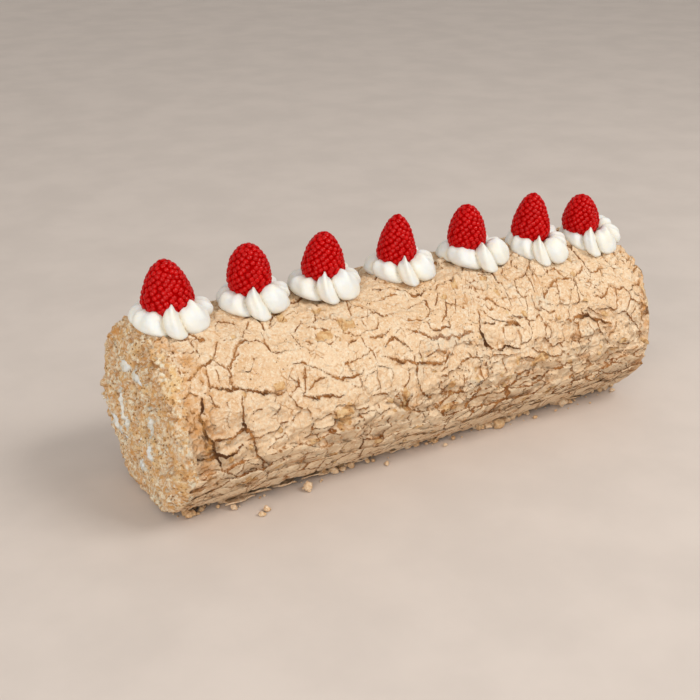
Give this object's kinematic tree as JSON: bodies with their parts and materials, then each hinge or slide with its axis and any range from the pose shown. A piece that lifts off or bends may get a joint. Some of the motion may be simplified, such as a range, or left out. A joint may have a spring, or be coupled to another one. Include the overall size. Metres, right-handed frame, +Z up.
{
  "type": "swiss roll cake",
  "caption": "Rolled nut-meringue sponge with a cracked pale crust and a spiral of cream, topped along its length with piped cream rosettes that each hold a raspberry.",
  "frame": {"origin": "on the board, under the middle of the whole cake", "axes": "+X along the roll, +Y across it towards the seam at the back, +Z up"},
  "size_m": [0.281, 0.1007, 0.1195],
  "materials": {
    "crust": "dry, crumbly, matt baked crust",
    "cream": "soft whipped cream with a low sheen",
    "raspberry": "moist, slightly glossy fruit skin"
  },
  "bodies": {
    "root": {"roulade": "crust", "cream_filling": "cream", "cream_rosette_1": "cream", "raspberry_1": "raspberry", "cream_rosette_2": "cream", "raspberry_2": "raspberry", "cream_rosette_3": "cream", "raspberry_3": "raspberry", "cream_rosette_4": "cream", "raspberry_4": "raspberry", "cream_rosette_5": "cream", "raspberry_5": "raspberry", "cream_rosette_6": "cream", "raspberry_6": "raspberry", "cream_rosette_7": "cream", "raspberry_7": "raspberry"}
  },
  "joints": []
}
